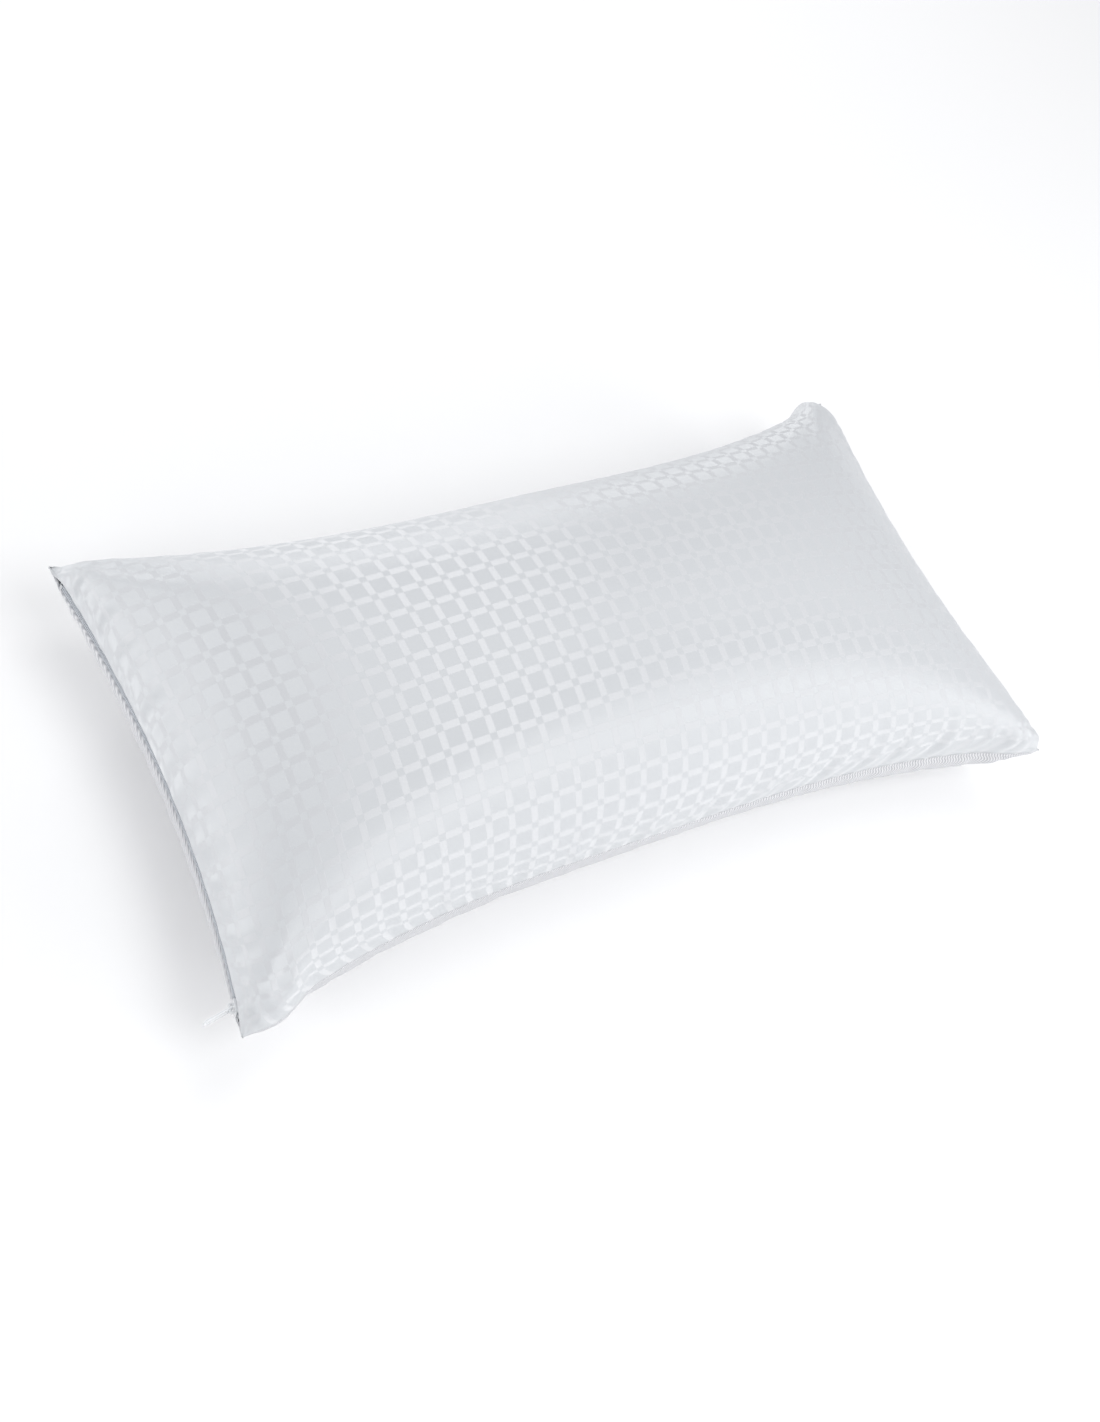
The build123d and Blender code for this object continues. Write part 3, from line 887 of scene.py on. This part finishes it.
tape = finish_tape(bpy.data.materials.new("woven polyester tape"))
thread = finish_thread(bpy.data.materials.new("spun polyester thread"))
open_finish(nylon, "D4D8DD", 0.32, IOR=1.53)
stop_metal = bpy.data.materials.new("nickel plate")
open_finish(stop_metal, "C8CACC", 0.28, Metallic=1.0)
print("finished", tape.name, thread.name, nylon.name, stop_metal.name)

# %% [markdown]
# The slider is zinc, cast and dipped in white enamel. The enamel is smooth and glossy, with a faint
# unevenness from the casting under it.

# %% White enamel
ENAMEL_WAVE, ENAMEL_DEPTH = 0.0015, 0.0001


def finish_enamel(material):
    tree, shader = open_finish(material, "E9EBED", 0.22, Coat_Weight=0.6, Coat_Roughness=0.08)
    where = add(tree, "ShaderNodeTexCoord").outputs["Object"]
    waves = add(
        tree, "ShaderNodeTexNoise", {"Vector": where, "Scale": 1 / ENAMEL_WAVE, "Detail": 1.0},
    ).outputs[0]
    bump = add(tree, "ShaderNodeBump", {"Strength": 0.15, "Distance": ENAMEL_DEPTH, "Height": waves})
    tree.links.new(bump.outputs[0], shader.inputs["Normal"])
    return material


enamel = finish_enamel(bpy.data.materials.new("white enamel"))
for cast in (slider, pull):
    cast.data.materials.clear()
    cast.data.materials.append(enamel)
print("enamelled", slider.name, "and", pull.name)

# %% [markdown]
# The CAD's nodes get the same finishes, by the start of their names. Most of them are hidden by the pieces
# that stand for them, and the threads, tapes, cords and stops are the visible pieces themselves.

# %% Finish the CAD nodes
CAD_FINISHES = {
    "seam_thread": thread, "zip_tape": tape, "coil_cord": thread, "coil_stitching": thread,
    "tape_stitching": thread, "top_stops": stop_metal, "bottom_stop": stop_metal, "slider_body": enamel,
    "pull_tab": enamel, "zip_coil": nylon, "top_panel": jacquard, "bottom_panel": twill,
    "inner_case": case_cloth, "fibre_core": fibre,
}
for node in frame["nodes"]:
    finish = next(found for start, found in CAD_FINISHES.items() if node.startswith(start))
    for slot in bpy.data.objects[node].material_slots:
        slot.material = finish
print("finished", len(frame["nodes"]), "CAD nodes")

# %% [markdown]
# The pillow lies on a wide white table top in a white room, whose walls give an even light from all sides.

# %% Table and room
TABLE_SIDE = 12
bpy.ops.object.select_all(action="DESELECT")
bpy.ops.mesh.primitive_plane_add(size=TABLE_SIDE, location=(0, 0, 0))
table_top = bpy.context.object
table_top.name = "table_top"
bpy.ops.object.mode_set(mode="EDIT")
bpy.ops.mesh.subdivide(number_cuts=3)
bpy.ops.object.mode_set(mode="OBJECT")
laminate = bpy.data.materials.new("white laminate")
open_finish(laminate, "FEFEFE", 0.9)
table_top.data.materials.append(laminate)

room = bpy.data.worlds.new("white room")
scene.world = room
room.use_nodes = True
room.node_tree.nodes.clear()
walls = add(room.node_tree, "ShaderNodeBackground", {"Color": paint("FBFCFF"), "Strength": 0.56})
add(room.node_tree, "ShaderNodeOutputWorld", {"Surface": walls.outputs[0]})
print("table and room", table_top.name, room.name)

# %% [markdown]
# Seven large square lamps stand in a ring round the pillow, some low and some high. Satin shows a lamp as a
# broad band, in one place on the squares and in another on the bars, so it is the ring of lamps that makes
# the damask bright here and dark there. They are weak and large, so the shadows stay soft.

# %% Lamps
LAMP_DISTANCE, LAMP_SIDE = 2.2, 1.0
PILLOW_MIDDLE = Vector((0, 0, 0.1))
# Each lamp: degrees round from the front towards the right, degrees up, and watts.
LAMPS = {
    "front_lamp": (30, 12, 7.0), "right_lamp": (50, 24, 7.0), "high_lamp": (15, 60, 11.5),
    "top_lamp": (135, 75, 6.0), "back_lamp": (165, 14, 9.0), "back_left_lamp": (240, 12, 10.5),
    "left_lamp": (300, 32, 5.4),
}


def soft_light(name, turn, lift, watts):
    """A square lamp aimed at the pillow; turn is 0 in front of it and 90 on its right, in degrees."""
    lamp = bpy.data.lights.new(name, "AREA")
    lamp.shape, lamp.size, lamp.energy = "SQUARE", LAMP_SIDE, watts
    turn, lift = math.radians(turn), math.radians(lift)
    away = Vector((math.sin(turn) * math.cos(lift), -math.cos(turn) * math.cos(lift), math.sin(lift)))
    holder = bpy.data.objects.new(name, lamp)
    holder.location = PILLOW_MIDDLE + away * LAMP_DISTANCE
    holder.rotation_euler = (-away).to_track_quat("-Z", "Y").to_euler()
    scene.collection.objects.link(holder)


for name, (turn, lift, watts) in LAMPS.items():
    soft_light(name, turn, lift, watts)
print("lamps", *LAMPS)

# %% [markdown]
# The camera looks down on the pillow from beyond its near left corner, with a slightly long lens, and is
# rolled so that the pillow rises to the right.

# %% Camera
AZIMUTH, ELEVATION, ROLL = map(math.radians, (-53.11, 54.494, 31.11))
TARGET = Vector((-0.04263, -0.02835, 0.076))
DISTANCE = 1.2704
FOCAL_LENGTH, SENSOR = 43.49, 36

back = Vector((
    math.sin(AZIMUTH) * math.cos(ELEVATION), -math.cos(AZIMUTH) * math.cos(ELEVATION), math.sin(ELEVATION),
))
right = (-back).cross(Vector((0, 0, 1))).normalized()
above = right.cross(-back)
right_rolled = right * math.cos(ROLL) + above * math.sin(ROLL)
above_rolled = above * math.cos(ROLL) - right * math.sin(ROLL)
lens = bpy.data.cameras.new("camera")
lens.lens = FOCAL_LENGTH
lens.sensor_width = SENSOR
camera = bpy.data.objects.new("camera", lens)
pose = Matrix((right_rolled, above_rolled, back)).transposed().to_4x4()
pose.translation = TARGET + back * DISTANCE
camera.matrix_world = pose
scene.collection.objects.link(camera)
scene.camera = camera
print("camera at", [round(value, 3) for value in pose.translation])
